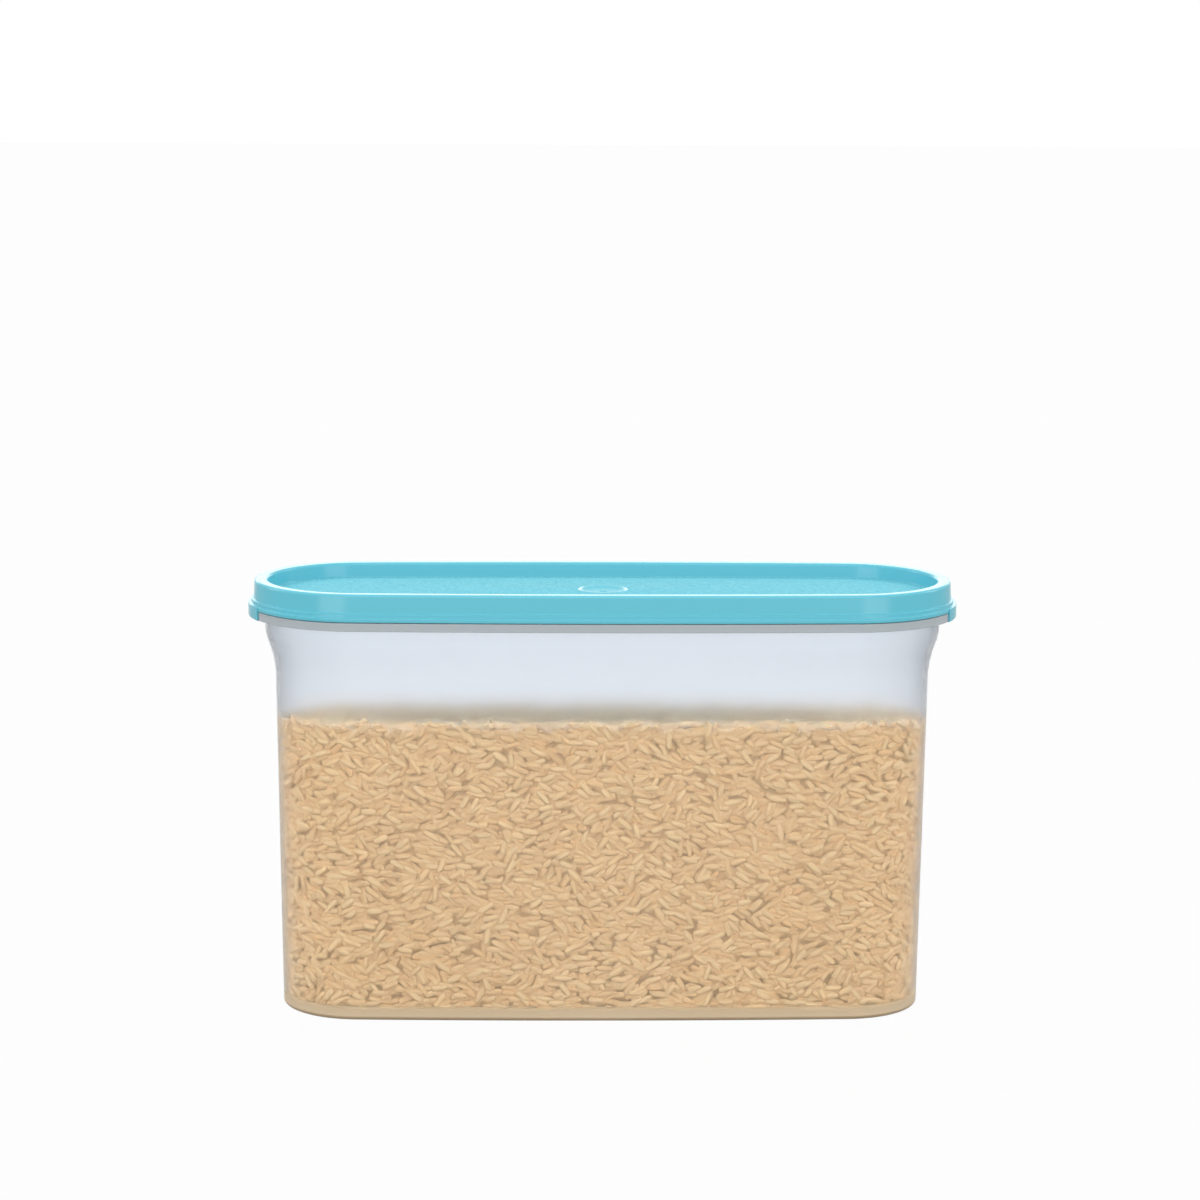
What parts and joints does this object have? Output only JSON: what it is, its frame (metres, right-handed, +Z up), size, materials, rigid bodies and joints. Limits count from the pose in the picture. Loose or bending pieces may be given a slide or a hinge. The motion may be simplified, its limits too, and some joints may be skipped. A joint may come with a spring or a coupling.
{
  "type": "food storage container",
  "caption": "Long oval dry-food keeper: tapered translucent tub with a flared neck and collar, a press-on lid with end tabs and a stacking recess, filled with long-grain rice.",
  "frame": {"origin": "on the table, under the middle of the oval tub", "axes": "+X along the oval, +Y towards the back, +Z up"},
  "size_m": [0.2768, 0.09, 0.17],
  "materials": {
    "frosted_tub": "frosted translucent polypropylene",
    "aqua_lid": "satin moulded polyethylene, fine grain on the panel",
    "rice": "golden parboiled long-grain rice, dry"
  },
  "bodies": {
    "container": {"container_body": "frosted_tub", "rice_fill": "rice"},
    "lid": {"lid": "aqua_lid"}
  },
  "joints": [
    {"name": "lid_lift", "type": "slide", "parent": "container", "child": "lid", "axis": [0, 0, 1], "range_m": [0, 0.12]}
  ]
}
